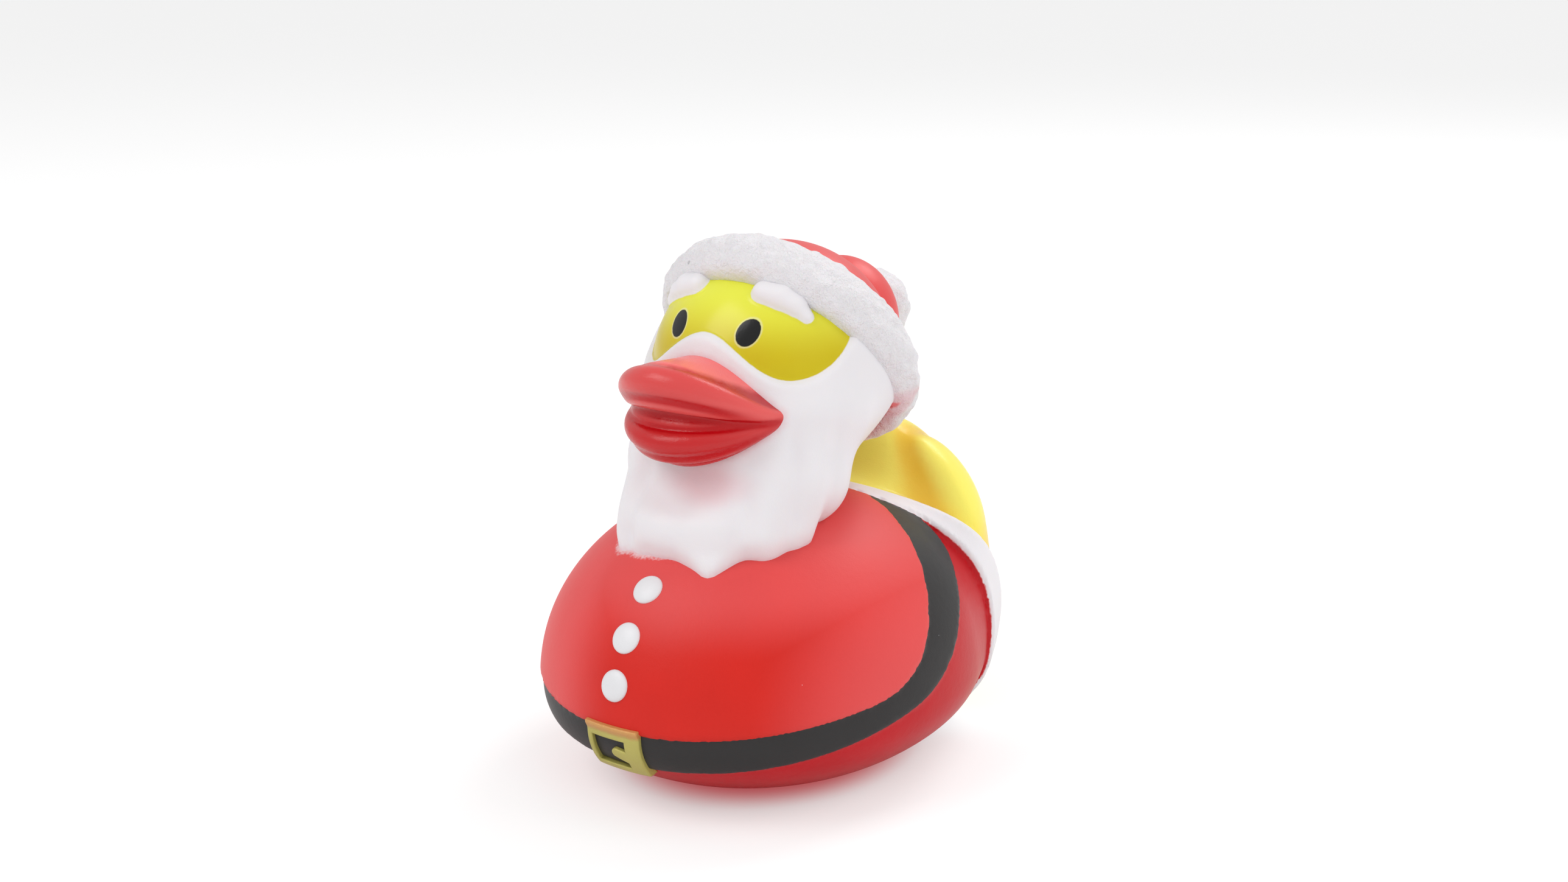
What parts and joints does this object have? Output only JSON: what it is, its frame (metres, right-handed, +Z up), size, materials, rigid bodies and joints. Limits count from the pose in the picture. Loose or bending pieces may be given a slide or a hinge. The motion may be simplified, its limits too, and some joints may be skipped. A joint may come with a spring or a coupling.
{
  "type": "bath duck",
  "caption": "Moulded vinyl bath duck in a winter costume with hat, beard, buttoned coat and belt, standing on a flat base.",
  "frame": {"origin": "centre of the flat base, on the surface that the duck stands on", "axes": "+Z up, -Y the way the duck faces, +X its left side"},
  "size_m": [0.068, 0.0842, 0.0867],
  "materials": {
    "vinyl": "satin"
  },
  "bodies": {
    "root": {"duck": "vinyl"}
  },
  "joints": []
}
